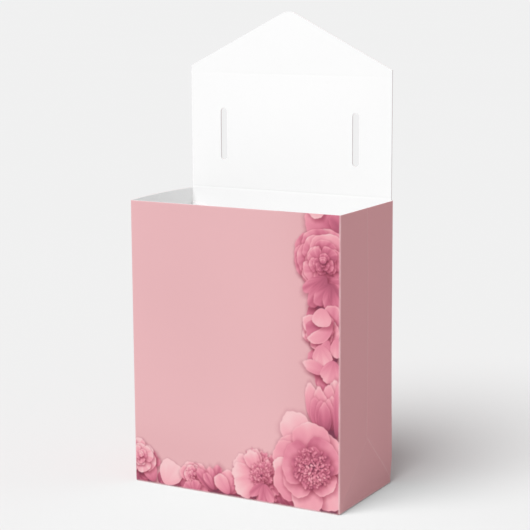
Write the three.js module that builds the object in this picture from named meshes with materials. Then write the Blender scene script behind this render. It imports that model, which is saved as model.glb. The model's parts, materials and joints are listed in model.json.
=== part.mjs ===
// A small card favour box for flowers: a creased tube with gusseted sides and a glued bottom,
// and a lid that stands up from the back panel and ends in a pointed closing flap.
// Every panel of the folded blank is its own piece, and they meet at the creases.
// Millimetres. +Z is up, the front faces -Y, and the origin is under the middle of the base.
import * as THREE from "three";

// Driving dimensions
const boxWidth = 64;
const boxDepth = 32;
const boxHeight = 80; // from the table to the lid's crease
const card = 0.4; // thickness of the card
const creaseInset = 0.15; // how far a panel's printed face stops short of a crease
const glueGap = 0.05; // between two glued layers

// Lid and closing flap, as heights above the lid's crease while they stand up
const lidWidth = 63;
const flapCrease = boxDepth + card + 0.2; // the flap comes down just clear of the front panel
const shoulderHeight = 34.5; // where the flap starts to narrow
const apexHeight = 50.4; // where its two slanting edges would meet
const apexRadius = 5;
const lidAngle = 0; // degrees: 0 stands up, 90 closes the box
const flapAngle = 0; // degrees: 0 is in line with the lid, 90 is folded down over the front

// Ribbon slots in the lid
const slotLength = 14.7;
const slotWidth = 2;
const slotSpacing = 41.6; // between the middles of the two slots
const slotHeight = 15.4; // of their middles above the lid's crease

// Gussets, seam and bottom
const wallTop = boxHeight - card - creaseInset; // the closed lid rests just above the walls
const gussetApex = boxDepth / 2 + 1; // where the slanting creases reach the middle crease
const gussetHeel = 1; // where they start, up the corners
const seamFlapWidth = 10;
const seamFlapBottom = 4;
const seamFlapTaper = 3;
const frontFlapDepth = 26;
const backFlapDepth = 20;
const sideFlapDepth = 14;
const bottomFlapTaper = 4;

// Card colours: printed rose outside, the white of the bare card on the seam flap
const printedRose = 0xdda6ab;
const shadedRose = 0xb27f85;
const bareWhite = 0xf4f2f1;

// An outline edge is cut, a crease that stays flat, or a crease folded square. The card behind
// a square fold is mitred, so that the two panels meet at 45 degrees.
const cut = { inset: 0, mitre: 0 };
const flatCrease = { inset: creaseInset, mitre: 0 };
const squareFold = { inset: creaseInset, mitre: 1 };

// Moves each edge of a counterclockwise outline inwards by its own distance, and returns the
// corners where neighbouring edges then meet.
function insetOutline(outline, distances) {
  const lines = outline.map((point, i) => {
    const along = outline[(i + 1) % outline.length].clone().sub(point).normalize();
    const inwards = new THREE.Vector2(-along.y, along.x);
    return { start: point.clone().addScaledVector(inwards, distances[i]), along };
  });
  return lines.map((line, i) => {
    const before = lines.at(i - 1);
    const between = line.start.clone().sub(before.start);
    const reach = between.cross(line.along) / before.along.cross(line.along);
    return before.start.clone().addScaledVector(before.along, reach);
  });
}

// A panel as seen from its printed side, which lies at z = 0 with the card behind it. edges[i]
// says how the outline is finished between corner i and the next one.
function cardPanel(name, color, corners, edges, slots = []) {
  const outline = corners.map((corner) => new THREE.Vector2(...corner));
  const printedSide = insetOutline(outline, edges.map((edge) => edge.inset));
  const innerSide = insetOutline(outline, edges.map((edge) => edge.inset + edge.mitre * card));
  const shape = new THREE.Shape(printedSide);
  shape.holes = slots;
  const geometry = new THREE.ExtrudeGeometry(shape, { depth: card, bevelEnabled: false });
  geometry.translate(0, 0, -card);
  const position = geometry.attributes.position;
  const point = new THREE.Vector3();
  for (let i = 0; i < position.count; i += 1) {
    point.fromBufferAttribute(position, i);
    const corner = printedSide.findIndex((p) => Math.hypot(p.x - point.x, p.y - point.y) < 1e-4);
    if (point.z < -card / 2 && corner >= 0) {
      position.setXY(i, innerSide[corner].x, innerSide[corner].y);
    }
  }
  geometry.computeVertexNormals();
  const material = new THREE.MeshStandardMaterial({ color, roughness: 0.6, metalness: 0 });
  const mesh = new THREE.Mesh(geometry, material);
  mesh.name = name;
  return mesh;
}

// A rounded slot that runs along y.
function ribbonSlot(x, y) {
  const radius = slotWidth / 2;
  const reach = slotLength / 2 - radius;
  const path = new THREE.Path();
  path.absarc(x, y + reach, radius, 0, Math.PI);
  path.absarc(x, y - reach, radius, Math.PI, 2 * Math.PI);
  path.closePath();
  return path;
}

// Stands a panel up. A yaw of 0 faces it to the front, and each quarter turn to the next side.
function stand(panel, quarterTurns, x, y, z) {
  panel.rotation.set(Math.PI / 2, 0, (quarterTurns * Math.PI) / 2, "ZYX");
  panel.position.set(x, y, z);
  return panel;
}

// Lays a bottom flap down, printed side below, running inwards from its wall's lower edge.
function layDown(panel, quarterTurns, x, y, z) {
  panel.rotation.set(Math.PI, 0, (quarterTurns * Math.PI) / 2, "ZYX");
  panel.position.set(x, y, z);
  return panel;
}

function frontPanel() {
  const x = boxWidth / 2;
  const corners = [[-x, 0], [x, 0], [x, wallTop], [-x, wallTop]];
  const edges = [squareFold, squareFold, cut, squareFold];
  return stand(cardPanel("front_panel", printedRose, corners, edges), 0, 0, -boxDepth / 2, 0);
}

function backPanel() {
  const x = boxWidth / 2;
  const corners = [[-x, 0], [x, 0], [x, boxHeight], [-x, boxHeight]];
  const edges = [cut, squareFold, squareFold, squareFold];
  return stand(cardPanel("back_panel", shadedRose, corners, edges), 2, 0, boxDepth / 2, 0);
}

// One side of the box: two halves that meet at the middle crease, and below them the triangle
// between the slanting creases. Seen from outside, the left half is towards -x of the outline.
function gussetSide(side, quarterTurns, x, halfNames) {
  const y = boxDepth / 2;
  const leftHalf = [[-y, gussetHeel], [0, gussetApex], [0, wallTop], [-y, wallTop]];
  const rightHalf = [[0, gussetApex], [y, gussetHeel], [y, wallTop], [0, wallTop]];
  const triangle = [[-y, 0], [y, 0], [y, gussetHeel], [0, gussetApex], [-y, gussetHeel]];
  const leftEdges = [flatCrease, flatCrease, cut, squareFold];
  const rightEdges = [flatCrease, squareFold, cut, flatCrease];
  const triangleEdges = [cut, squareFold, flatCrease, flatCrease, squareFold];
  return [
    cardPanel(`${side}_${halfNames[0]}_gusset`, shadedRose, leftHalf, leftEdges),
    cardPanel(`${side}_${halfNames[1]}_gusset`, shadedRose, rightHalf, rightEdges),
    cardPanel(`${side}_base_gusset`, shadedRose, triangle, triangleEdges),
  ].map((panel) => stand(panel, quarterTurns, x, 0, 0));
}

// The strip of bare card that joins the tube, glued inside the back panel at its left corner.
function seamFlap() {
  const right = boxWidth / 2 - card - creaseInset; // as seen from behind
  const left = right - seamFlapWidth;
  const bottom = seamFlapBottom;
  const top = wallTop - seamFlapBottom;
  const corners = [
    [left, bottom + seamFlapTaper],
    [right, bottom],
    [right, top],
    [left, top - seamFlapTaper],
  ];
  const panel = cardPanel("seam_flap", bareWhite, corners, [cut, cut, cut, cut]);
  return stand(panel, 2, 0, boxDepth / 2 - card - glueGap, 0);
}

// A bottom flap hangs below its crease at y = 0 and narrows towards its free edge. start is how
// far inside the wall's printed face it begins.
function bottomFlap(name, halfWidth, start, depth, creaseEdge) {
  const tip = halfWidth - bottomFlapTaper;
  const corners = [[-tip, -depth], [tip, -depth], [halfWidth, -start], [-halfWidth, -start]];
  return cardPanel(name, shadedRose, corners, [cut, cut, creaseEdge, cut]);
}

// The side flaps are folded in first, then the back flap, and the front flap closes the bottom.
function bottomFlaps() {
  const behindWall = card + creaseInset;
  const layer = card + glueGap;
  const wide = boxWidth / 2 - behindWall;
  const deep = boxDepth / 2 - behindWall;
  const front = bottomFlap("front_bottom_flap", wide, 0, frontFlapDepth, squareFold);
  const back = bottomFlap("back_bottom_flap", wide, behindWall, backFlapDepth, cut);
  const right = bottomFlap("right_bottom_flap", deep, behindWall, sideFlapDepth, cut);
  const left = bottomFlap("left_bottom_flap", deep, behindWall, sideFlapDepth, cut);
  return [
    layDown(front, 0, 0, -boxDepth / 2, 0),
    layDown(back, 2, 0, boxDepth / 2, layer),
    layDown(right, 1, boxWidth / 2, 0, 2 * layer),
    layDown(left, 3, -boxWidth / 2, 0, 2 * layer),
  ];
}

function lidPanel() {
  const x = lidWidth / 2;
  const corners = [[-x, 0], [x, 0], [x, flapCrease], [-x, flapCrease]];
  const slots = [-1, 1].map((side) => ribbonSlot((side * slotSpacing) / 2, slotHeight));
  const edges = [squareFold, cut, squareFold, cut];
  return stand(cardPanel("lid_panel", shadedRose, corners, edges, slots), 2, 0, 0, 0);
}

// The flap keeps the lid's width up to its shoulders, and then runs to a rounded point.
function closingFlap() {
  const x = lidWidth / 2;
  const shoulder = shoulderHeight - flapCrease;
  const apex = apexHeight - flapCrease;
  const slope = Math.atan2(apex - shoulder, x);
  const centre = apex - apexRadius / Math.cos(slope);
  const quarter = Math.PI / 2;
  const tip = new THREE.ArcCurve(0, centre, apexRadius, quarter - slope, quarter + slope);
  const rounded = tip.getPoints(10).map((point) => point.toArray());
  const corners = [[-x, 0], [x, 0], [x, shoulder], ...rounded, [-x, shoulder]];
  const edges = corners.map((corner, i) => (i === 0 ? squareFold : cut));
  return stand(cardPanel("closing_flap", shadedRose, corners, edges), 2, 0, 0, 0);
}

// The lid turns about its crease on the back panel, and the closing flap about its own crease.
const lid = new THREE.Group();
lid.position.set(0, boxDepth / 2, boxHeight);
lid.rotation.x = THREE.MathUtils.degToRad(lidAngle);
const flap = new THREE.Group();
flap.position.set(0, 0, flapCrease);
flap.rotation.x = THREE.MathUtils.degToRad(flapAngle);
flap.add(closingFlap());
lid.add(lidPanel(), flap);

const flowerBox = new THREE.Group();
flowerBox.add(frontPanel(), backPanel(), seamFlap());
flowerBox.add(...gussetSide("right", 1, boxWidth / 2, ["front", "rear"]));
flowerBox.add(...gussetSide("left", 3, -boxWidth / 2, ["rear", "front"]));
flowerBox.add(...bottomFlaps());
flowerBox.add(lid);

export default flowerBox;
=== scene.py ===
# A folded card flower box with paper flowers printed on its front, standing open on a pale floor.
import json
import math

import bpy
import numpy as np
from mathutils import Euler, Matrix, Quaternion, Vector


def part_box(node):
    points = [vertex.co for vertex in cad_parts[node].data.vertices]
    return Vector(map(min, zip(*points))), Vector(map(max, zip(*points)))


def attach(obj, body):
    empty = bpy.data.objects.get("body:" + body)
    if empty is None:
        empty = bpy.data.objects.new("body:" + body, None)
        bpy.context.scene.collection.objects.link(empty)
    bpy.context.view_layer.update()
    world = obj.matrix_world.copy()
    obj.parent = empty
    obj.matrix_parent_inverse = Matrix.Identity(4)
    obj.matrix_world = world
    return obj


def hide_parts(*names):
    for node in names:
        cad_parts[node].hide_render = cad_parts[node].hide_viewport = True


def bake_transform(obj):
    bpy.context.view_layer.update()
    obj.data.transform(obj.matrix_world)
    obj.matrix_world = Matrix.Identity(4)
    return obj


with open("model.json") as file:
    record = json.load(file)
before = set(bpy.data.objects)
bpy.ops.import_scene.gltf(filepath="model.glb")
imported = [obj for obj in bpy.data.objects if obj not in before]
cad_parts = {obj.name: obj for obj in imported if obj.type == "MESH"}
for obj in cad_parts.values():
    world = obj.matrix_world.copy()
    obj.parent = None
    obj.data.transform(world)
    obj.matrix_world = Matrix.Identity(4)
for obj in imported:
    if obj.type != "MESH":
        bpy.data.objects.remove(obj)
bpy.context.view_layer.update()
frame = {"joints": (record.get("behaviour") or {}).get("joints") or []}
print("frame loaded")

# Shapes are worked out in millimetres, and makeMesh turns them into metres.
millimetre = 0.001
upwards = np.array([0, 0, 1.0])


def nodeBox(node):  # lowest and highest corner of a panel, in millimetres
    return np.array([list(corner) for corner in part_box(node)]) / millimetre


def hingeHeight(name):
    return next(j for j in frame["joints"] if j["name"] == name)["pos_m"][2] / millimetre


halfWidth = nodeBox("right_front_gusset")[1, 0]
halfDepth = nodeBox("back_panel")[1, 1]
wallTop = nodeBox("front_panel")[1, 2]
card = np.ptp(nodeBox("lid_panel"), axis=0)[1]
lidHalf = nodeBox("lid_panel")[1, 0]
lidCrease = hingeHeight("lid_hinge")
flapCrease = hingeHeight("flap_crease")
flapTop = nodeBox("closing_flap")[1, 2]

fold = {
    "radius": 0.5,  # outside of a square fold
    "steps": 4,  # in an eighth of a turn
    "strip": 0.45,  # how far a hinge crease reaches to each side, just over the card's thickness
}
gusset = {
    "heel": 1.0,  # height of the slanting creases at the corners
    "crease": 0.09,  # depth of the middle crease
    "ridge": 0.08,  # height of the slanting creases
    "spread": 0.32,
    "bow": 0.35,  # the side's own bow
    "lean": 0.45,  # how far the foot of a side leans in under its slanting creases
    "gather": 1.7,  # rows of points close up towards the slanting creases from above,
    "gatherBelow": 1.4,  # and from below
    "topRows": (0.99, 0.995, 0.998, 1.0),  # and the last ones towards the worn rim
}
looseness = {
    "mouth": 1.5,  # the left side's bow at its mouth
    "corner": (0.35, 0.2),  # swell of the right rear corner, sideways and backwards
    "cornerReach": 9.0,
    "cornerHeight": 26.0,
}
paleInk = {  # how pale the ink is along folds, creases and cut edges, from 0 to 1, and how wide the pale line is
    "fold": 0.75,
    "foldAway": 0.12,  # the left side's folds
    "foldSpread": 0.26,
    "rim": 0.3,
    "rimSpread": 0.12,
    "middle": 0.18,
    "slantRear": 0.26,
    "slantFront": 0.06,
    "creaseSpread": 0.16,
    "cut": 0.5,
    "flapCut": 0.6,
    "hinge": 0.12,
    "hingeMiddle": 0.3,
    "hingeSpread": 0.2,
}


# A mesh from points in millimetres, with values or colours on its points
def makeMesh(name, points, faces, materials, slots, attributes):
    mesh = bpy.data.meshes.new(name)
    mesh.from_pydata((points * millimetre).tolist(), [], faces)
    for material in materials:
        mesh.materials.append(material)
    mesh.polygons.foreach_set("material_index", np.asarray(slots, np.int32))
    for key, values in attributes.items():
        kind, field = ("FLOAT", "value") if values.ndim == 1 else ("FLOAT_COLOR", "color")
        layer = mesh.attributes.new(key, kind, "POINT")
        layer.data.foreach_set(field, values.astype(np.float32).ravel())
    mesh.polygons.foreach_set("use_smooth", np.ones(len(mesh.polygons), bool))
    mesh.update()
    mesh.set_sharp_from_angle(angle=math.radians(40))
    made = bpy.data.objects.new(name, mesh)
    bpy.context.scene.collection.objects.link(made)
    return made


# One sheet of card between two grids of points, rows going up and columns to the right as seen from
# outside. Cells where keep is false are left out, and a strip closes every open edge between the faces.
def cardSheet(name, outer, inner, materials, keep=None, attributes=None):
    rows, columns = outer.shape[:2]
    index = np.arange(rows * columns).reshape(rows, columns)
    keep = np.ones((rows - 1, columns - 1), bool) if keep is None else keep
    corners = [index[:-1, :-1], index[:-1, 1:], index[1:, 1:], index[1:, :-1]]
    quads = np.stack([c[keep] for c in corners], axis=1)
    padded = np.pad(keep, 1)
    beyond = [padded[:-2, 1:-1], padded[1:-1, 2:], padded[2:, 1:-1], padded[1:-1, :-2]]
    count = rows * columns
    rims = []
    for side in range(4):
        atEdge = keep & ~beyond[side]
        a, b = corners[side][atEdge], corners[(side + 1) % 4][atEdge]
        rims.append(np.stack([b, a, a + count, b + count], axis=1))
    rims = np.concatenate(rims)
    faces = np.concatenate([quads, quads[:, ::-1] + count, rims])
    slots = np.repeat([0, 1, 2], [len(quads), len(quads), len(rims)])
    points = np.concatenate([outer.reshape(-1, 3), inner.reshape(-1, 3)])
    used, faces = np.unique(faces, return_inverse=True)
    both = {k: np.concatenate([v, v])[used] for k, v in (attributes or {}).items()}
    both["depth"] = np.repeat([0.0, 1.0], count)[used]
    return makeMesh(name, points[used], faces.reshape(-1, 4).tolist(), materials, slots, both)


# Values from low to high about a step apart, closer together towards both ends where squeeze is
# above 0: a mix of t and (1 - cos(pi t)) / 2
def spaced(low, high, step, squeeze=0.0):
    t = np.linspace(0, 1, max(2, int(round((high - low) / step)) + 1))
    t = (1 - squeeze) * t + squeeze * (1 - np.cos(np.pi * t)) / 2
    return low + (high - low) * t


def smooth(low, high, x):  # 0 below low, 1 above high, 3t^2 - 2t^3 between
    t = np.clip((x - low) / (high - low), 0, 1)
    return t * t * (3 - 2 * t)


def nearEdge(distance, spread):  # 1 at an edge and fading past it, exp(-(distance / spread)^2)
    return np.exp(-((np.clip(distance, 0, None) / spread) ** 2))


# A value in a shader: + - and * add Math nodes to its tree
class Wire:
    def __init__(self, shader, socket):
        self.shader, self.socket = shader, socket

    def math(self, operation, first, second):
        return self.shader.node("ShaderNodeMath", {"operation": operation}, {0: first, 1: second})

    def __add__(self, other):
        return self.math("ADD", self, other)

    def __mul__(self, other):
        return self.math("MULTIPLY", self, other)

    def __sub__(self, other):
        return self.math("SUBTRACT", self, other)

    def __rsub__(self, other):
        return self.math("SUBTRACT", other, self)

    __radd__ = __add__
    __rmul__ = __mul__

    def clamped(self):
        return self.shader.node("ShaderNodeClamp", {}, {0: self})

    def between(self, low, high, newLow=0.0, newHigh=1.0):  # smooth step to a new range
        settings = {"interpolation_type": "SMOOTHSTEP"}
        inputs = {0: self, 1: low, 2: high, 3: newLow, 4: newHigh}
        return self.shader.node("ShaderNodeMapRange", settings, inputs)


# One material and its node tree
class Shader:
    def __init__(self, name):
        self.material = bpy.data.materials.new(name)
        self.material.use_nodes = True
        self.tree = self.material.node_tree
        self.surface = self.tree.nodes["Principled BSDF"]

    # Any node: its settings first, then its sockets by name, or by number among those it uses
    def node(self, kind, settings, inputs, output=0):
        made = self.tree.nodes.new(kind)
        for key, value in settings.items():
            setattr(made, key, value)
        inUse = [s for s in made.inputs if s.enabled]
        for key, value in inputs.items():
            self.plug(made.inputs[key] if isinstance(key, str) else inUse[key], value)
        outputs = made.outputs if isinstance(output, str) else [s for s in made.outputs if s.enabled]
        return Wire(self, outputs[output])

    def plug(self, socket, value):
        if isinstance(value, Wire):
            self.tree.links.new(value.socket, socket)
        elif socket.type == "RGBA":
            socket.default_value = (*value, 1.0)
        else:
            socket.default_value = value

    def attribute(self, name, output="Fac"):
        return self.node("ShaderNodeAttribute", {"attribute_name": name}, {}, output)

    def place(self):  # Object coordinates, in metres
        return self.node("ShaderNodeTexCoord", {}, {}, "Object")

    def stretched(self, place, scale):
        return self.node("ShaderNodeMapping", {}, {"Vector": place, "Scale": scale})

    def noise(self, place, scale, detail=3.0, roughness=0.5):  # 0 to 1, with its mean at 0.5
        inputs = {"Vector": place, "Scale": scale, "Detail": detail, "Roughness": roughness}
        return self.node("ShaderNodeTexNoise", {}, inputs)

    def mix(self, factor, first, second):  # of two colours
        return self.node("ShaderNodeMix", {"data_type": "RGBA"}, {0: factor, 1: first, 2: second})

    def brighten(self, colour, factor):  # a colour times a value
        inputs = {"Vector": colour, "Scale": factor}
        return self.node("ShaderNodeVectorMath", {"operation": "SCALE"}, inputs)

    def bump(self, height, strength, distance):
        inputs = {"Strength": strength, "Distance": distance, "Height": height}
        return self.node("ShaderNodeBump", {}, inputs)

    def finish(self, constants, **wired):
        for name, value in (constants | wired).items():
            self.plug(self.surface.inputs[name.replace("_", " ")], value)
        return self.material


def toLight(level):  # from 0 to 1 on a screen to the light it stands for
    return np.where(level <= 0.04045, level / 12.92, ((level + 0.055) / 1.055) ** 2.4)


def linear(red, green, blue):  # the same, from 0 to 255
    return tuple(toLight(np.array([red, green, blue]) / 255).tolist())


rosePrint = {
    "rose": linear(214, 151, 156),
    "paleTone": linear(246, 214, 216),
    "cloud": 22.0,  # per metre, as all the scales here are
    "cloudDepth": 0.05,
    "grain": 2600.0,
    "grainDepth": 0.02,
    "fleck": 700.0,
    "upright": (1.0, 1.0, 0.35),  # the flecks are drawn out upwards
    "bump": 0.12,
    "relief": 0.00002,
    "roughness": 0.47,
    "specular": 0.32,
}
cardStock = {
    "white": linear(239, 239, 239),
    "grey": linear(231, 230, 229),
    "fibre": 1500.0,
    "mottle": 90.0,
    "layers": 6000.0,
    "bump": 0.1,
    "relief": 0.000005,
    "roughness": 0.78,
    "specular": 0.25,
}


# Smooth coated print: faint clouds in the ink, a fine grain, and paler ink where it's folded
def coatedInk(shader, colour):
    place = shader.place()
    clouds = shader.noise(place, rosePrint["cloud"], 2.0)
    grain = shader.noise(place, rosePrint["grain"], 2.0, 0.7)
    flecks = shader.noise(shader.stretched(place, rosePrint["upright"]), rosePrint["fleck"])
    cover = 0.965 + clouds * rosePrint["cloudDepth"] + grain * rosePrint["grainDepth"]
    paleTone = shader.attribute("edge") * flecks.between(0.25, 0.75, 0.45, 1.0)
    ink = shader.mix(paleTone.clamped(), shader.brighten(colour, cover), rosePrint["paleTone"])
    normal = shader.bump(grain * 0.5 + flecks * 0.5, rosePrint["bump"], rosePrint["relief"])
    rough = rosePrint["roughness"] + clouds * 0.06 + grain * 0.05
    constants = {"Specular IOR Level": rosePrint["specular"]}
    return shader.finish(constants, Base_Color=ink, Roughness=rough, Normal=normal)


def roseMaterial():
    return coatedInk(Shader("rose_print"), rosePrint["rose"])


def floralMaterial():
    shader = Shader("floral_print")
    return coatedInk(shader, shader.attribute("print", "Color"))


# Bare card: pressed fibres lying every way, with a few greyer ones. On a cut edge the ink shows as a
# thin line, and then the pressed layers.
def bareMaterial(name, edge=False):
    shader = Shader(name)
    place = shader.place()
    upright = shader.noise(shader.stretched(place, (1.0, 1.0, 0.3)), cardStock["fibre"], 4.0, 0.6)
    across = shader.noise(shader.stretched(place, (0.3, 1.0, 1.0)), cardStock["fibre"], 4.0, 0.6)
    mottle = shader.noise(place, cardStock["mottle"])
    grey = (upright + across).between(1.1, 1.6, 0.0, 0.35)
    colour = shader.mix(grey, cardStock["white"], cardStock["grey"])
    colour = shader.brighten(colour, 0.995 + mottle * 0.01)
    if edge:
        layers = shader.noise(shader.stretched(place, (0.4, 0.4, 0.4)), cardStock["layers"], 2.0)
        colour = shader.brighten(colour, 0.9 + layers * 0.1)
        inked = 1 - shader.attribute("depth").between(0.05, 0.3)
        colour = shader.mix(inked, colour, rosePrint["rose"])
    normal = shader.bump(upright + across, cardStock["bump"], cardStock["relief"])
    rough = cardStock["roughness"] + mottle * 0.1
    constants = {"Specular IOR Level": cardStock["specular"]}
    return shader.finish(constants, Base_Color=colour, Roughness=rough, Normal=normal)


roseInk, floralInk = roseMaterial(), floralMaterial()
bareCard, cutEdge = bareMaterial("bare_card"), bareMaterial("cut_edge", edge=True)
printedCard = [roseInk, bareCard, cutEdge]
floralCard = [floralInk, bareCard, cutEdge]
print("materials made")


# The walls of the tube. Each is drawn flat: q runs along it from the left as seen from outside, and z
# up from the floor fold. Past its flat part the card turns with the fold.
def wallFrame(yaw, half, reach, bounce=True):
    c, s = round(math.cos(yaw)), round(math.sin(yaw))
    along, outwards = np.array([c, s, 0.0]), np.array([s, -c, 0.0])
    return {"along": along, "out": outwards, "half": half, "reach": reach, "bounce": bounce}


# The front and the right side throw no bounce light, which would turn the white floor and lid pink.
walls = {
    "front": wallFrame(0, halfWidth, halfDepth, bounce=False),
    "right": wallFrame(math.pi / 2, halfDepth, halfWidth, bounce=False),
    "back": wallFrame(math.pi, halfWidth, halfDepth),
    "left": wallFrame(-math.pi / 2, halfDepth, halfWidth),
}
eighth = fold["radius"] * math.pi / 4  # arc from a wall's flat part to the middle of a fold


def slantHeight(p, half):  # height of the slanting creases above the floor
    return gusset["heel"] + half - np.abs(p)


# How far a side stands out from flat at (p, h): a slow bow, a groove along the middle crease and a
# ridge along the slanting ones, each exp(-(distance / spread)^2), and below these it leans in.
def sideRelief(p, h, half):
    inside = np.clip(1 - (p / half) ** 2, 0, 1)
    slant = slantHeight(p, half)
    above = smooth(-0.6, 0.6, h - slant)
    groove = gusset["crease"] * np.exp(-((p / gusset["spread"]) ** 2)) * above
    distance = (h - slant) / math.sqrt(2)
    ridge = gusset["ridge"] * np.exp(-((distance / gusset["spread"]) ** 2)) * smooth(0, 0.2, inside)
    bow = gusset["bow"] * inside * np.sin(np.pi * np.clip((h - 2) / wallTop, 0, 1))
    lean = gusset["lean"] * np.clip(1 - h / slant, 0, 1) * smooth(0, 0.5, inside)
    return bow - groove + ridge - lean


# The set of the folded card: the left side bows out towards its mouth, and the right rear corner
# swells a little over the slanting crease.
def settle(points):
    x, y, h = points[..., 0], points[..., 1], points[..., 2]
    mouth = np.clip(-x / halfWidth, 0, 1) ** 6 * (1 - (y / halfDepth) ** 2)
    reach = looseness["cornerReach"]
    corner = np.exp(-(((x - halfWidth) / reach) ** 2) - ((y - halfDepth) / reach) ** 2)
    corner = corner * smooth(0, reach, h) * np.exp(-((h / looseness["cornerHeight"]) ** 2))
    sideways, backwards = looseness["corner"]
    points = points.copy()
    points[..., 0] += -looseness["mouth"] * mouth * smooth(0, 1, h / wallTop) + sideways * corner
    points[..., 1] += backwards * corner
    return points


# P = C + (r - depth) n, where C follows the centres of the folds' arcs and n turns with the folds
def onWall(wall, q, z, depth):
    r = fold["radius"]
    flat = wall["half"] - r
    turn = np.sign(q) * np.clip(np.abs(q) - flat, 0, None) / r
    tuck = np.clip(-z, 0, None) / r
    p, rise = np.clip(q, -flat, flat), np.maximum(z, 0) + r
    along = p + (r - depth) * np.sin(turn) * np.cos(tuck)
    out = wall["reach"] - r + (r - depth) * np.cos(turn) * np.cos(tuck)
    h = rise - (r - depth) * np.sin(tuck)
    if wall["half"] == halfDepth:
        out = out + sideRelief(p, rise, wall["half"]) * smooth(-0.2, 3, z)
    level = along[..., None] * wall["along"] + out[..., None] * wall["out"]
    return settle(level + h[..., None] * upwards)


def foldArc():  # q past a wall's flat part, as far as the middle of the fold
    return eighth * np.arange(1, fold["steps"] + 1) / fold["steps"]


def foldLines(half, step):  # q from the middle of one fold to the middle of the next
    flat = half - fold["radius"]
    return np.concatenate([-flat - foldArc()[::-1], spaced(-flat, flat, step, 0.3), flat + foldArc()])


def tuckLines():  # z around the floor fold, below 0
    return -2 * eighth * np.arange(2 * fold["steps"], 0, -1) / (2 * fold["steps"])


# A panel of a wall at q and z: two faces a card's thickness apart, with paler ink along its folds and
# creases
def wallPanel(name, wall, q, z, materials=printedCard, extra=None):
    q, z = np.broadcast_arrays(q, z)
    outer, inner = onWall(wall, q, z, 0.0), onWall(wall, q, z, card)
    toFold = wall["half"] - fold["radius"] + eighth - np.abs(q)
    # Paler ink along the folds: a strong line on the right of the box, a faint one on the left
    folded = np.where(outer[..., 0] > 0, paleInk["fold"], paleInk["foldAway"])
    rim = paleInk["rim"] * nearEdge(np.minimum(z, z.max() - z), paleInk["rimSpread"])
    edge = np.maximum(folded * nearEdge(toFold, paleInk["foldSpread"]), rim)
    # Paler lines along a side's middle crease and slanting creases, stronger on the rear slanting crease
    # than on the front one
    if wall["half"] == halfDepth:
        toSlant = (z + fold["radius"] - slantHeight(q, halfDepth)) / math.sqrt(2)
        middle = paleInk["middle"] * nearEdge(np.abs(q), paleInk["creaseSpread"]) * smooth(0, 1, toSlant)
        slanted = np.where(outer[..., 1] > 0, paleInk["slantRear"], paleInk["slantFront"])
        slanted = slanted * nearEdge(np.abs(toSlant - 0.1), paleInk["creaseSpread"])
        edge = np.maximum(edge, np.maximum(middle, slanted))
    attributes = {"edge": edge.ravel()} | (extra(outer) if extra else {})
    piece = cardSheet(name, outer, inner, materials, attributes=attributes)
    piece.visible_diffuse = wall["bounce"]
    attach(piece, "box")
    return piece


# A side's two halves and its foot: rows run from the slanting creases up to the rim, and from round
# the floor fold up to the slanting creases.
def sidePanels(side, rearIsRight):
    wall = walls[side]
    half = wall["half"]
    top = wallTop - fold["radius"]
    flat = half - fold["radius"]
    right = np.concatenate([spaced(0, flat, 0.5, 0.85), flat + foldArc()])
    q = np.concatenate([-right[:0:-1], right])
    middle = len(q) // 2
    slant = slantHeight(q, half) - fold["radius"]
    up = spaced(0, 1, 0.02)
    rise = np.concatenate([up[:-1] ** gusset["gather"], gusset["topRows"]])[:, None]
    names = ("front", "rear") if rearIsRight else ("rear", "front")
    for name, part in zip(names, (slice(0, middle + 1), slice(middle, None))):
        z = slant[part] + rise * (top - slant[part])
        panel = wallPanel(f"{side}_{name}_gusset_card", wall, q[part], z)
        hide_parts(f"{side}_{name}_gusset")
    floor = np.broadcast_to(tuckLines()[:, None], (2 * fold["steps"], len(q)))
    z = np.concatenate([floor, (1 - (1 - up[:, None]) ** gusset["gatherBelow"]) * slant])
    panel = wallPanel(f"{side}_base_gusset_card", wall, q, z)
    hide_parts(f"{side}_base_gusset")


# The back is flat from the floor fold up to the lid's crease.
def backPanel():
    top = lidCrease - fold["strip"] - fold["radius"]
    z = np.concatenate([tuckLines(), spaced(0, top, 1.0, 0.3)])
    panel = wallPanel("back_panel_card", walls["back"], foldLines(halfWidth, 1.0), z[:, None])
    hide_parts("back_panel")


sidePanels("right", True)
sidePanels("left", False)
backPanel()

flaps = {"taper": 4.0, "sag": 0.25, "seamTaper": 3.0}


# A bottom flap between its crease and its free edge: t runs along it and s across, its half width goes
# smoothly from wide to narrow, and it sags by t (1 - s^2) where nothing holds it up.
def bottomFlap(node, wall, sags):
    low, high = nodeBox(node)
    onX = wall["along"][0] != 0
    wide = (high - low)[0 if onX else 1] / 2
    depth = (high - low)[1 if onX else 0]
    start = abs(wall["out"] @ (high + low) / 2) + depth / 2
    t = spaced(0, 1, 0.05)[::-1][:, None]
    s = spaced(-1, 1, 0.04)
    narrow = wide - flaps["taper"] * smooth(0, 1, t) * np.ones_like(s)
    along, inwards = s * narrow, np.broadcast_to(start - t * depth, narrow.shape)
    flat = along[..., None] * wall["along"] + inwards[..., None] * wall["out"]
    sag = flaps["sag"] * (t * (1 - s**2))[..., None] * upwards if sags else 0
    outer, inner = (settle(flat + face[2] * upwards + sag) for face in (low, high))
    distance = np.minimum((1 - t) * depth, (1 - np.abs(s)) * narrow)
    attributes = {"edge": (paleInk["flapCut"] * nearEdge(distance, 0.2)).ravel()}
    piece = cardSheet(f"{node}_card", outer, inner, printedCard, attributes=attributes)
    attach(piece, "box")
    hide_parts(node)


bottomFlap("front_bottom_flap", walls["front"], False)
bottomFlap("back_bottom_flap", walls["back"], False)
bottomFlap("right_bottom_flap", walls["right"], True)
bottomFlap("left_bottom_flap", walls["left"], True)


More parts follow.
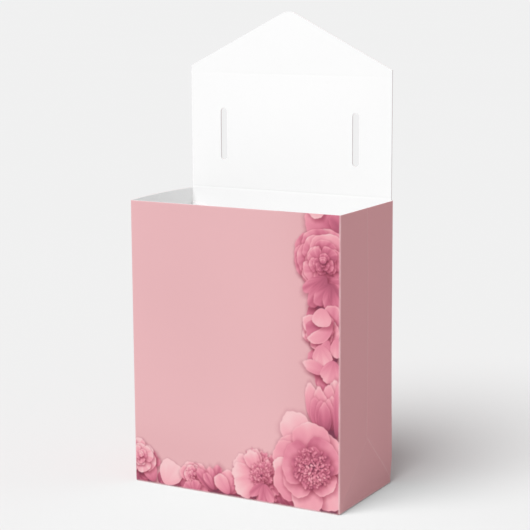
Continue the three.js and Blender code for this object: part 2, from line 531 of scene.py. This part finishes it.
# A flat strip whose ends slant in towards its free side
def seamFlap():
    low, high = nodeBox("seam_flap")
    t = spaced(0, 1, 0.1)
    taper = flaps["seamTaper"] * (1 - t)
    x = low[0] + t * (high[0] - low[0])
    atLeft = np.abs(low[0]) > np.abs(high[0])
    taper = taper[::-1] if atLeft else taper
    up = spaced(0, 1, 0.03)[:, None]
    z = low[2] + taper + up * (high[2] - low[2] - 2 * taper)
    x = np.broadcast_to(x, z.shape)
    faces = [
        np.stack([x[:, ::-1], np.full_like(z, y), z[:, ::-1]], axis=-1)
        for y in (high[1], low[1])
    ]
    piece = cardSheet("seam_flap_card", *faces, [bareCard, bareCard, cutEdge])
    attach(piece, "box")
    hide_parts("seam_flap")


seamFlap()
print("tube folded")

lid = {
    "slotHalf": (1.0, 7.35),  # half the width and half the length of a ribbon slot
    "slotAt": (20.8, 15.4),  # from the middle, and above the lid's crease
    "besides": (-2.0, -1.4, -1, 1, 1.4, 2.0),  # columns next to a slot, in half widths of it
    "clear": 2.8,  # where the even columns start beside a slot,
    "above": 0.6,  # and the even rows above and below it
    "bow": 0.3,
    "shoulder": 34.5,  # where the flap starts to narrow, above the lid's crease
    "apex": 50.4,  # where its two slopes would meet
    "pointRadius": 5.0,
    "curl": 0.22,  # how far the flap's point curls back
    "pressed": {"lid_hinge_crease": 0.02, "flap_hinge_crease": 0.006},
}
lidReach = flapCrease - lidCrease


# How far the open lid stands forward of the back panel's plane at height h above its crease: a
# shallow bow that is 0 at both creases, and then the flap's curl, backwards
def lidBow(x, h):
    across = 1 - (x / lidHalf) ** 2
    bow = lid["bow"] * across * np.sin(np.pi * np.clip(h / lidReach, 0, 1))
    past = np.clip(h - lidReach, 0, None) / (flapTop - flapCrease)
    return bow - lid["curl"] * past**2 * (0.4 + 0.6 * across)


# The printed and the bare face of the lid at x and h, each thin further in. x is as seen from
# behind, where the printed face is.
def lidFaces(x, h, thin=0.0):
    x, h = np.broadcast_arrays(x, h)
    depths = (thin, card - thin)
    return [np.stack([-x, halfDepth - depth - lidBow(x, h), lidCrease + h], axis=-1) for depth in depths]


def lidPiece(name, faces, edge, keep=None):
    return cardSheet(name, *faces, printedCard, keep=keep, attributes={"edge": edge.ravel()})


# Columns of a slotted sheet lean in to follow each slot's round ends: half its width is
# w sqrt(1 - ((|dz| - (l - w)) / w)^2) past the straight part.
def lidPanel():
    w, l = lid["slotHalf"]
    slotX, slotZ = lid["slotAt"]
    margin = fold["strip"]
    besides = np.array(lid["besides"]) * w
    between = spaced(-slotX + lid["clear"], slotX - lid["clear"], 1.0)
    outer = spaced(slotX + lid["clear"], lidHalf, 0.8)
    x = np.concatenate([-outer[::-1], -slotX + besides, between, slotX + besides, outer])
    ends = l - w + w * np.sin(np.linspace(0, math.pi / 2, 7))
    inSlot = np.concatenate([-ends[::-1], spaced(-l + w, l - w, 1.0)[1:-1], ends])
    low = spaced(margin, slotZ - l - lid["above"], 0.8)
    high = spaced(slotZ + l + lid["above"], lidReach - margin, 0.8)
    h = np.concatenate([low, slotZ + inSlot, high])
    grid = np.broadcast_to(x, (len(h), len(x))).copy()
    dz = np.abs(h - slotZ)
    past = np.clip((dz - (l - w)) / w, 0, 1)
    lean = np.maximum(np.sqrt(1 - past**2), 0.1)
    lean = np.where(dz > l + 0.01, 1, lean)
    centres = (x[:-1] + x[1:]) / 2
    hole = np.zeros((len(h) - 1, len(x) - 1), bool)
    besideSlot = np.abs((h[:-1] + h[1:]) / 2 - slotZ) < l
    for middle in (-slotX, slotX):
        sides = np.abs(np.abs(x - middle) - w) < 1e-6
        grid[:, sides] = middle + (x[sides] - middle) * lean[:, None]
        hole |= besideSlot[:, None] & (np.abs(centres - middle) < w)
    acrossSlot = np.clip(np.abs(np.abs(grid) - slotX) - w, 0, None)
    toSlot = np.hypot(acrossSlot, np.clip(dz - l, 0, None)[:, None])
    cut = np.maximum(nearEdge(lidHalf - np.abs(grid), 0.15), nearEdge(toSlot, 0.1))
    toCrease = np.minimum(h, lidReach - h)[:, None] * np.ones_like(grid)
    hinged = paleInk["hinge"] * nearEdge(toCrease - margin, paleInk["hingeSpread"])
    faces = lidFaces(grid, h[:, None])
    piece = lidPiece("lid_card", faces, np.maximum(paleInk["cut"] * cut, hinged), ~hole)
    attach(piece, "lid")
    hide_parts("lid_panel")


# The flap's height over the lid's crease at x: two slopes joined by an arc of radius r at the point
def flapHeight(x):
    apex, r = lid["apex"], lid["pointRadius"]
    slope = math.atan2(apex - lid["shoulder"], lidHalf)
    rounded = apex - r / math.cos(slope) + np.sqrt(np.clip(r * r - x * x, 0, None))
    straight = apex - np.abs(x) * math.tan(slope)
    return np.where(np.abs(x) < r * math.sin(slope), rounded, straight)


# Rows run from the flap's crease up to its outline.
def closingFlap():
    half = np.concatenate([spaced(0, 2.4, 0.3)[:-1], spaced(2.4, lidHalf, 0.8, 0.3)])
    x = np.concatenate([-half[:0:-1], half])
    start = lidReach + fold["strip"]
    h = start + spaced(0, 1, 0.04, 0.3)[:, None] * (flapHeight(x) - start)
    distance = np.minimum(lidHalf - np.abs(x), (flapHeight(x) - h) * 0.9)
    hinged = paleInk["hinge"] * nearEdge(h - start, paleInk["hingeSpread"])
    edge = np.maximum(paleInk["cut"] * nearEdge(distance, 0.15), hinged)
    piece = lidPiece("closing_flap_card", lidFaces(x, h), edge)
    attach(piece, "flap")
    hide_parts("closing_flap")


# A hinge crease is the same card, pressed thinner: each face dips by press cos^2 towards its middle.
def hingeCrease(name, height):
    reach = fold["strip"]
    h = height + spaced(-reach, reach, 0.05)[:, None]
    x = spaced(-lidHalf, lidHalf, 1.0)
    dip = lid["pressed"][name] * np.cos((h - height) / reach * math.pi / 2) ** 2
    edge = paleInk["hinge"] + paleInk["hingeMiddle"] * nearEdge(np.abs(h - height), paleInk["creaseSpread"])
    piece = lidPiece(name, lidFaces(x, h, dip), edge * np.ones_like(x))
    low, high = (
        (0, halfDepth * millimetre, (lidCrease + height + side * reach) * millimetre)
        for side in (-1, 1)
    )
    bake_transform(piece)


lidPanel()
closingFlap()
hingeCrease("lid_hinge_crease", 0.0)
hingeCrease("flap_hinge_crease", lidReach)
print("lid hinged")


# The printed flowers: cut paper petals in a band up the right side and along the foot. Places and
# sizes are in millimetres on the front panel, turns in degrees, tones from 0, deep, to 1, pale.
art = {
    "seed": 11,
    # the front's rose, paler and greyer than the other walls' rose, with a painted sheen of the light on
    # the front
    "ground": (231, 180, 184),
    "tones": (0.0, 0.2, 0.4, 0.6, 0.8, 1.0),
    "petal": (
        (132, 54, 82), (166, 78, 104), (202, 106, 132),
        (226, 138, 158), (239, 165, 177), (244, 198, 201),
    ),
    "shade": (0.34, 0.62, 0.52),  # what a full shadow takes from red, green and blue
    "lightFrom": (-0.55, 0.83),
    "inkLevel": 0.885,
    "blur": 0.12,  # half the width of a petal's soft outline
}
petalLook = {
    "flare": 0.3,  # how much wider the tip is than the base
    "point": 0.0,
    "ruffle": 0.03,
    "lobes": 7,
    "bend": 0.0,
    "folds": 3.0,
    "crinkle": 0.05,
    "dome": 0.1,
    "rim": 0.04,
    "shadow": 0.5,
    "soft": 0.9,
    "lift": 0.7,
    "curve": 0.8,
}
dice = np.random.default_rng(art["seed"])


def tint(tone):
    petal = np.array(art["petal"]).T / 255
    return np.stack([np.interp(tone, art["tones"], channel) for channel in petal], axis=-1)


# The petal's own coordinates at each point: s runs from -1 at its base to 1 at its tip, t across,
# and gap is how far inside its outline the point is. The outline is
# rho = 1 + point exp(-(theta / 0.4)^2) + ruffle sin(lobes theta + phase) (1 + cos theta) / 2.
def petalPlace(x, z, petal):
    turn = math.radians(petal["turn"])
    ahead, aside = petal["length"] / 2, petal["width"] / 2
    c, s = math.cos(turn), math.sin(turn)
    u, v = x - petal["at"][0] - ahead * c, z - petal["at"][1] - ahead * s
    along, across = (u * c + v * s) / ahead, (v * c - u * s) / aside
    across = across + petal["bend"] * (along**2 - 1)
    across = across / (1 + petal["flare"] * np.clip(along, -1, 1))
    theta, rho = np.arctan2(across, along), np.hypot(along, across)
    tip = (1 + np.cos(theta)) / 2
    outline = 1 + petal["point"] * np.exp(-((theta / 0.4) ** 2))
    outline = outline + petal["ruffle"] * np.sin(petal["lobes"] * theta + petal["phase"]) * tip
    outline = outline + 0.4 * petal["ruffle"] * np.sin(2.7 * petal["lobes"] * theta) * tip
    gap = (1 - rho / outline) * min(ahead, aside)
    return along, across, rho / outline, gap


# One petal: first its shadow on what lies under it, then its own tones, which go from low at the base
# to high at the tip, with folds that fan out, a domed side turned to the light and a pale rim.
def paintPetal(canvas, at, turn, length, width, low, high, **look):
    petal = petalLook | {"phase": dice.uniform(0, 6.28)} | look
    petal |= {"at": at, "turn": turn, "length": length, "width": width}
    c, s = math.cos(math.radians(turn)), math.sin(math.radians(turn))
    middle = (at[0] + c * length / 2, at[1] + s * length / 2)
    reach = 0.62 * math.hypot(length, width) + 2 * petal["soft"] + petal["lift"]
    near = np.hypot(canvas["x"] - middle[0], canvas["z"] - middle[1]) < reach
    if not near.any():
        return
    x, z, paint = canvas["x"][near], canvas["z"][near], canvas["paint"][near]
    fromX, fromZ = art["lightFrom"]
    lift, soft = petal["lift"], petal["soft"]
    gap = petalPlace(x + lift * fromX, z + lift * fromZ, petal)[3]
    dark = petal["shadow"] * smooth(-soft, 0.6 * soft, gap)
    paint = paint * (1 - dark[:, None] * np.array(art["shade"]))
    along, across, rho, gap = petalPlace(x, z, petal)
    grown = np.clip((along + 1) / 2, 0, 1)
    tone = low + (high - low) * grown ** petal["curve"]
    fan = np.arctan2(across * width / 2, (along + 1.15) * length / 2)
    wave = np.sin(petal["folds"] * fan * 3 + petal["phase"]) + 0.5 * np.sin(petal["folds"] * fan * 7.3)
    tone = tone + petal["crinkle"] * wave * grown
    facing = ((x - middle[0]) * fromX + (z - middle[1]) * fromZ) / (length / 2)
    tone = tone + petal["dome"] * facing * rho**2
    tone = tone + petal["rim"] * np.exp(-(((gap - 0.12) / 0.16) ** 2)) * smooth(-0.9, 0.2, along)
    cover = smooth(-art["blur"], art["blur"], gap)[:, None]
    paint = np.maximum(paint, 0.9 * tint(0.0))
    canvas["paint"][near] = paint * (1 - cover) + tint(np.clip(tone, 0, 1)) * cover


# Petals around a middle at the given turns, each with its base at reach from it
def ring(canvas, at, turns, reach, length, width, low, high, wobble=0.12, **look):
    for turn in turns:
        turn = turn + dice.uniform(-60, 60) * wobble
        size = 1 + dice.uniform(-1, 1) * wobble
        shift = dice.uniform(-0.5, 0.5) * wobble
        c, s = math.cos(math.radians(turn)), math.sin(math.radians(turn))
        base = (at[0] + reach * c, at[1] + reach * s)
        sizes = length * size, width * size
        paintPetal(canvas, base, turn, *sizes, low + shift, high + shift, **look)


def around(count, start=0.0):
    return start + np.arange(count) * 360.0 / count


# Five rings of broad petals, each with one petal fewer than the ring around it
def rose(canvas, at, radius, low, high, start=0.0):
    look = {
        "flare": 0.15, "ruffle": 0.05, "lobes": 4, "lift": 0.35, "crinkle": 0.08,
        "rim": 0.07, "dome": 0.16, "shadow": 0.55, "point": 0.06, "wobble": 0.2,
    }
    reaches = (0.26, 0.2, 0.1, 0.02, -0.02)
    for n, (reach, size) in enumerate(zip(reaches, (0.8, 0.66, 0.5, 0.36, 0.22))):
        look |= {"soft": 0.8 - 0.1 * n, "bend": dice.uniform(-0.25, 0.25)}
        sizes = size * radius, size * 1.3 * radius
        tones = low - 0.02 * n, high - 0.03 * n
        ring(canvas, at, around(6 - n, start + 47 * n), reach * radius, *sizes, *tones, **look)


# A disc of short threads, nearly three to a square millimetre, evenly spread over its area
def stamens(canvas, at, radius, bright=0.0):
    look = {"flare": 0.5, "rim": 0.0, "lift": 0.2, "soft": 0.3, "shadow": 0.42, "dome": 0.0}
    look |= {"crinkle": 0.0}
    for n in range(int(9 * radius * radius)):
        far = radius * math.sqrt(dice.uniform(0, 1))
        turn = dice.uniform(0, 360)
        c, s = math.cos(math.radians(turn)), math.sin(math.radians(turn))
        low = bright + 0.14 + 0.3 * dice.uniform(0, 1)
        size = dice.uniform(0.6, 1.5)
        base = (at[0] + far * c, at[1] + far * s)
        turn = turn + dice.uniform(-90, 90)
        paintPetal(canvas, base, turn, size, 0.34 * size + 0.15, low, low + 0.36, **look)


# Long pointed petals that close over one another above a base, the outer ones first
def bud(canvas, at, turn, length, width, low, high, count, spread):
    look = {"flare": -0.1, "point": 0.12, "crinkle": 0.09, "folds": 2.4, "rim": 0.05, "dome": 0.14}
    look |= {"lift": 0.4, "soft": 0.7}
    for n, off in enumerate((-1, 1, -0.5, 0.5, 0)[:count]):
        size = 1 - 0.05 * n
        lean = turn + off * spread + dice.uniform(-3, 3)
        sizes = length * size, width * size
        paintPetal(canvas, at, lean, *sizes, low, high - 0.03 * n, bend=0.12 * off, **look)


# Narrow ragged petals, ring over ring
def carnation(canvas, at, radius, low, high, start=0.0):
    look = {"flare": 0.75, "ruffle": 0.09, "lobes": 11, "crinkle": 0.12, "folds": 4.0, "rim": 0.12}
    look |= {"lift": 0.25, "soft": 0.5, "wobble": 0.2}
    for n, size in enumerate((1.0, 0.82, 0.62, 0.42, 0.26)):
        sizes = size * radius, 0.5 * size * radius
        tones = low + 0.04 * n, high - 0.02 * n
        ring(canvas, at, around(11 - n, start + 23 * n), 0.06 * radius, *sizes, *tones, **look)


# The plain rose of the panel, with a slow drift and a little deeper towards the flowers. It is paler and
# greyer than the rose of the other walls: the sheen of the light on the front is painted into it.
def paintGround(canvas):
    x, z = canvas["x"], canvas["z"]
    toBand = np.minimum(halfWidth - 8 - x, z - 9 + 0.05 * x)
    near = np.exp(-((np.clip(toBand, 0, None) / 7) ** 2))
    drift = np.sin(0.11 * x + 0.07 * z) * np.sin(0.06 * z - 0.05 * x + 1)
    glow = 1 + 0.006 * drift - 0.012 * near
    paint = np.array(art["ground"]) / 255 * glow[:, None]
    canvas["paint"] = paint * (1 - near[:, None] * np.array([0.0, 0.012, 0.01]))


# Deep petals lie under everything along both edges, and the flowers follow from the top round to
# the corner, whose large flower lies over the rest.
def paintFlowers(canvas):
    under = {"crinkle": 0.08, "soft": 1.6, "lift": 1.4, "shadow": 0.3, "rim": 0.03, "dome": 0.05}
    for z in np.arange(0.5, 82, 3.4):
        turns = 180 + dice.uniform(-50, 50, 2)
        inset = 2.5 if 55 < z < 62 or 30 < z < 36 else 0.0
        ring(canvas, (31.0, z), turns, 0, 8.6 - inset, 5.5, 0.05, 0.48, **under)
    for x in np.arange(-33, 30, 3.2):
        rise = 4.2 + 1.8 * smooth(-6, 6, x)
        ring(canvas, (x, -0.5), 90 + dice.uniform(-50, 50, 2), 0, rise, 4.0, 0.05, 0.48, **under)
    paintTop(canvas)
    paintMiddle(canvas)
    paintLeft(canvas)
    paintFoot(canvas)
    paintCorner(canvas)


# A large rose with a bud's green end below it, drawn in rose like the rest
def paintTop(canvas):
    paintPetal(canvas, (33.0, 71.5), 138, 13.5, 9.0, 0.2, 0.62, crinkle=0.07, soft=1.4, lift=0.7)
    paintPetal(canvas, (35.0, 73.0), 120, 9.0, 6.5, 0.1, 0.45, crinkle=0.07)
    paintPetal(canvas, (27.5, 84.0), 232, 6.6, 5.0, 0.55, 0.95, soft=0.8, dome=0.0)
    ring(canvas, (26.6, 68.0), (146, 176, 205, 232, 256, 285), 1.5, 6.4, 6.4, 0.2, 0.56, flare=0.15,
         crinkle=0.07, soft=1.2, lift=0.6, rim=0.08, wobble=0.08)
    rose(canvas, (27.5, 67.5), 7.9, 0.2, 0.62, 10)
    paintPetal(canvas, (28.5, 66.0), 84, 8.4, 11.5, 0.4, 0.76, flare=0.1, crinkle=0.06, folds=2,
               rim=0.1)
    rose(canvas, (27.0, 66.6), 5.3, 0.2, 0.62, 75)
    ring(canvas, (27.5, 62.5), (262, 300, 335), 0, 5.4, 3.6, 0.15, 0.55, crinkle=0.1, folds=5)
    ring(canvas, (28.0, 63.2), (212, 236), 0, 8.2, 3.8, 0.22, 0.55, crinkle=0.1, folds=5, point=0.1)
    ring(canvas, (29.5, 61.5), (236, 262, 292), 0, 7.0, 4.0, 0.18, 0.58, crinkle=0.1, point=0.1)


# A half open rose among loose petals, and two closed buds under it
def paintMiddle(canvas):
    ring(canvas, (30.0, 48.5), (20, 60, 95, 128), 0.4, 6.4, 4.6, 0.3, 0.72, crinkle=0.09, rim=0.12)
    rose(canvas, (26.2, 48.3), 4.8, 0.4, 0.8, 200)
    paintPetal(canvas, (27.6, 52.0), 195, 6.6, 5.4, 0.5, 0.86, bend=0.3, rim=0.1)
    paintPetal(canvas, (28.4, 50.4), 214, 6.6, 6.6, 0.2, 0.5, bend=-0.1, rim=0.02, shadow=0.2)
    paintPetal(canvas, (29.8, 51.0), 214, 8.6, 3.6, 0.5, 0.84, bend=0.55, flare=0.1, rim=0.12)
    paintPetal(canvas, (26.8, 55.0), 268, 5.0, 5.4, 0.62, 0.93, ruffle=0.02, crinkle=0.02, rim=0.05)
    paintPetal(canvas, (28.8, 46.6), 238, 6.4, 3.6, 0.45, 0.82, bend=0.2)
    paintPetal(canvas, (30.8, 47.2), 282, 5.0, 4.4, 0.5, 0.86, crinkle=0.06)
    paintPetal(canvas, (26.2, 45.2), 282, 5.6, 5.6, 0.52, 0.92, crinkle=0.06, folds=4, ruffle=0.04)
    paintPetal(canvas, (28.6, 37.8), 162, 7.2, 3.4, 0.45, 0.8, point=0.14, crinkle=0.05)
    paintPetal(canvas, (30.2, 41.4), 262, 6.4, 6.4, 0.4, 0.84, crinkle=0.07, ruffle=0.05)
    bud(canvas, (28.2, 21.6), 96, 14.2, 6.0, 0.3, 0.84, 4, 16)
    bud(canvas, (27.6, 21.8), 93, 9.8, 5.0, 0.2, 0.62, 5, 16)
    paintPetal(canvas, (31.0, 21.0), 84, 15.5, 3.4, 0.2, 0.72, point=0.1, crinkle=0.09, folds=5)


# A small rose at the left corner, a single pale petal and a smaller rose
def paintLeft(canvas):
    ring(canvas, (-27.4, 5.6), (20, 62, 98), 0, 4.4, 3.0, 0.2, 0.52, crinkle=0.08, soft=1.0, rim=0.06)
    ring(canvas, (-31.0, 2.2), (-40, 5, 50), 0.3, 3.4, 2.8, 0.2, 0.55, crinkle=0.08)
    paintPetal(canvas, (-25.9, 0.6), 112, 5.6, 4.6, 0.4, 0.7, crinkle=0.05)
    rose(canvas, (-30.6, 7.4), 4.9, 0.55, 0.93, 30)
    paintPetal(canvas, (-22.2, 0.4), 62, 7.6, 7.4, 0.84, 1.0, ruffle=0.05, lobes=5, crinkle=0.03,
               rim=0.05, lift=0.6, soft=1.0)
    ring(canvas, (-12.8, 2.4), (60, 102, 138), 0.2, 5.8, 4.4, 0.42, 0.84, crinkle=0.05, soft=1.0)
    rose(canvas, (-12.9, 4.6), 3.1, 0.45, 0.8, 0)
    ring(canvas, (-12.2, -0.6), (28, 150, 88), 0, 3.8, 3.0, 0.35, 0.62, crinkle=0.08)


# Ragged petals, and a carnation with broad pale petals at its left
def paintFoot(canvas):
    ring(canvas, (-6.6, 0.4), (42, 72, 104, 134), 0.2, 7.8, 3.2, 0.22, 0.55, crinkle=0.13, folds=5,
         soft=0.9)
    ring(canvas, (-6.2, 1.0), (60, 118), 0.2, 5.4, 2.6, 0.3, 0.62, crinkle=0.12, folds=5)
    ring(canvas, (-1.4, 0.6), (56, 96, 134), 0.2, 6.6, 4.4, 0.45, 0.82, crinkle=0.06, soft=0.9)
    carnation(canvas, (8.4, 7.0), 7.0, 0.25, 0.66, 12)
    ring(canvas, (7.8, 7.4), (150, 182, 214), 0.4, 8.0, 5.6, 0.5, 0.97, flare=0.5, ruffle=0.05,
         crinkle=0.05)
    ring(canvas, (8.2, 7.6), (108, 128), 0.3, 6.4, 4.0, 0.4, 0.9, flare=0.5, ruffle=0.05, crinkle=0.06)
    carnation(canvas, (8.6, 7.4), 3.4, 0.22, 0.58, 40)
    ring(canvas, (9.4, 5.6), (232, 262, 292), 0.4, 5.8, 2.6, 0.3, 0.6, crinkle=0.1, point=0.1)


# The large open flower: two layers of broad petals around a disc of threads
def paintCorner(canvas):
    middle = (24.0, 11.6)
    outer = {"crinkle": 0.04, "folds": 3, "soft": 1.5, "lift": 1.0, "rim": 0.05, "wobble": 0.04}
    ring(canvas, middle, (116,), 1, 14.8, 8.8, 0.55, 0.95, flare=0.3, **outer)
    ring(canvas, middle, (146, 164), 1, 10.8, 8.0, 0.42, 0.76, flare=0.35, **outer)
    ring(canvas, middle, (184,), 4, 7.6, 4.6, 0.6, 0.92, flare=0.35, **outer)
    ring(canvas, middle, (214,), 1, 12.2, 10.0, 0.42, 0.74, flare=0.3, **outer)
    ring(canvas, middle, (352, 30), 1, 11.0, 9.0, 0.42, 0.8, flare=0.3, **outer)
    ring(canvas, middle, (308, 262), 1, 11.6, 8.4, 0.5, 0.88, flare=0.4, **outer)
    ring(canvas, middle, (60,), 1, 10.6, 8.6, 0.45, 0.84, flare=0.25, **outer)
    ring(canvas, middle, (92,), 1, 11.4, 11.0, 0.36, 0.8, flare=0.2, **outer)
    inner = outer | {"lift": 0.6, "soft": 1.2, "dome": -0.12}
    ring(canvas, middle, (222,), 0.6, 9.6, 9.0, 0.42, 0.72, flare=0.25, **inner)
    ring(canvas, middle, (168,), 0.6, 8.2, 12.0, 0.28, 0.7, flare=0.1, **inner)
    ring(canvas, middle, (318,), 0.5, 7.4, 8.0, 0.35, 0.74, flare=0.2, **inner)
    ring(canvas, middle, (48,), 0.5, 8.4, 11.0, 0.2, 0.66, flare=0.15, **inner)
    ring(canvas, middle, around(9, 10), 0.2, 5.9, 4.0, 0.06, 0.34, crinkle=0.08, rim=0.02, soft=1.2,
         lift=0.3)
    stamens(canvas, middle, 4.9)
    stamens(canvas, (middle[0] + 0.8, middle[1] - 1.2), 2.4, 0.14)


# Colours of the print at points of the front panel, as the light the ink sends back. The dice start
# afresh, so that each piece of the panel gets the same flowers.
def printed(points):
    canvas = {"x": points[..., 0].ravel(), "z": points[..., 2].ravel()}
    dice.bit_generator.state = np.random.default_rng(art["seed"]).bit_generator.state
    paintGround(canvas)
    paintFlowers(canvas)
    ink = toLight(np.clip(canvas["paint"], 0, 1)) * art["inkLevel"]
    return {"print": np.column_stack([ink, np.ones(len(ink))])}


printFilm = {
    "cell": 0.162,  # of the grid that carries the colours
    "proud": 0.012,  # of the panel's face,
    "sunk": -0.02,  # and its back, inside the card
    "foot": 17.5,  # top of the band along the foot
    "side": 13.5,  # left of the band up the side
}


# The front is flat from the floor fold up to its rim.
def frontPanel():
    z = np.concatenate([tuckLines(), spaced(0, wallTop - fold["radius"], 0.4)])
    q = foldLines(halfWidth, 0.9)
    front = walls["front"]
    panel = wallPanel("front_panel_card", front, q, z[:, None], floralCard, printed)
    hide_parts("front_panel")


# The finely printed band: a flat skin of ink on the panel
def inkFilm(name, left, right, low, high):
    x, z = spaced(left, right, printFilm["cell"]), spaced(low, high, printFilm["cell"])[:, None]
    x, z = np.broadcast_arrays(x, z)
    outer, inner = (
        np.stack([x, np.full_like(x, -halfDepth - height), z], axis=-1)
        for height in (printFilm["proud"], printFilm["sunk"])
    )
    film = cardSheet(name, outer, inner, 3 * [floralInk], attributes=printed(outer))
    film.visible_diffuse = walls["front"]["bounce"]
    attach(film, "box")


frontPanel()
flatHalf = halfWidth - fold["radius"]
inkFilm("foot_print", -flatHalf, flatHalf, fold["radius"], printFilm["foot"])
inkFilm("side_print", printFilm["side"], flatHalf, printFilm["foot"], wallTop)
print("front printed")


stage = {
    "grey": linear(221, 221, 221),
    "half": 60.0,  # metres
    "gap": 0.02,  # millimetres, between the box and the floor
}


# A square of pale floor around the box
def layFloor():
    shader = Shader("floor_paint")
    tone = shader.noise(shader.place(), 3.0, 2.0)
    paint = shader.brighten(stage["grey"], 0.995 + tone * 0.01)
    shader.finish({"Specular IOR Level": 0.0}, Base_Color=paint, Roughness=0.85 + tone * 0.1)
    half, level = stage["half"] / millimetre, -stage["gap"]
    corners = [(-half, -half, level), (half, -half, level), (half, half, level), (-half, half, level)]
    floor = makeMesh("floor", np.array(corners), [[0, 1, 2, 3]], [shader.material], [0], {})


layFloor()

light = {
    "sun": 3.0,
    "spread": 42.0,  # degrees across, for soft shadows
    "azimuth": -14.0,
    "elevation": 58.0,
    "sky": 0.4,
}


# A direction towards the light or the camera: azimuth 0 is in front, elevation above the horizon.
def direction(azimuth, elevation):
    a, e = math.radians(azimuth), math.radians(elevation)
    return np.array([math.sin(a) * math.cos(e), -math.cos(a) * math.cos(e), math.sin(e)])


# One soft sun and an even white sky
def lights():
    data = bpy.data.lights.new("key", "SUN")
    data.energy = light["sun"]
    data.angle = math.radians(light["spread"])
    key = bpy.data.objects.new("key", data)
    key.rotation_euler = (math.radians(90 - light["elevation"]), 0, math.radians(light["azimuth"]))
    bpy.context.scene.collection.objects.link(key)
    world = bpy.data.worlds.new("sky")
    bpy.context.scene.world = world
    world.use_nodes = True
    background = world.node_tree.nodes["Background"]
    background.inputs["Color"].default_value = (1, 1, 1, 1)
    background.inputs["Strength"].default_value = light["sky"]
    bpy.context.scene.view_settings.view_transform = "Standard"


lights()

camera = {
    "azimuth": 29.28,
    "elevation": 10.0,
    "roll": -0.278,
    "lens": 108.7,
    "distance": 0.4378,  # metres
    "aim": (0.0009, 0.0616),  # metres to the right of the middle, and above the floor
}


def placeCamera():
    data = bpy.data.cameras.new("camera")
    data.lens = camera["lens"]
    data.sensor_width = 36
    made = bpy.data.objects.new("camera", data)
    turn = math.radians(camera["azimuth"])
    right, height = camera["aim"]
    aim = np.array([right * math.cos(turn), right * math.sin(turn), height])
    made.location = aim + camera["distance"] * direction(camera["azimuth"], camera["elevation"])
    level = Euler((math.radians(90 - camera["elevation"]), 0, turn)).to_quaternion()
    made.rotation_mode = "QUATERNION"
    made.rotation_quaternion = level @ Quaternion((0, 0, 1), math.radians(camera["roll"]))
    bpy.context.scene.collection.objects.link(made)
    bpy.context.scene.camera = made


placeCamera()
print("stage set")
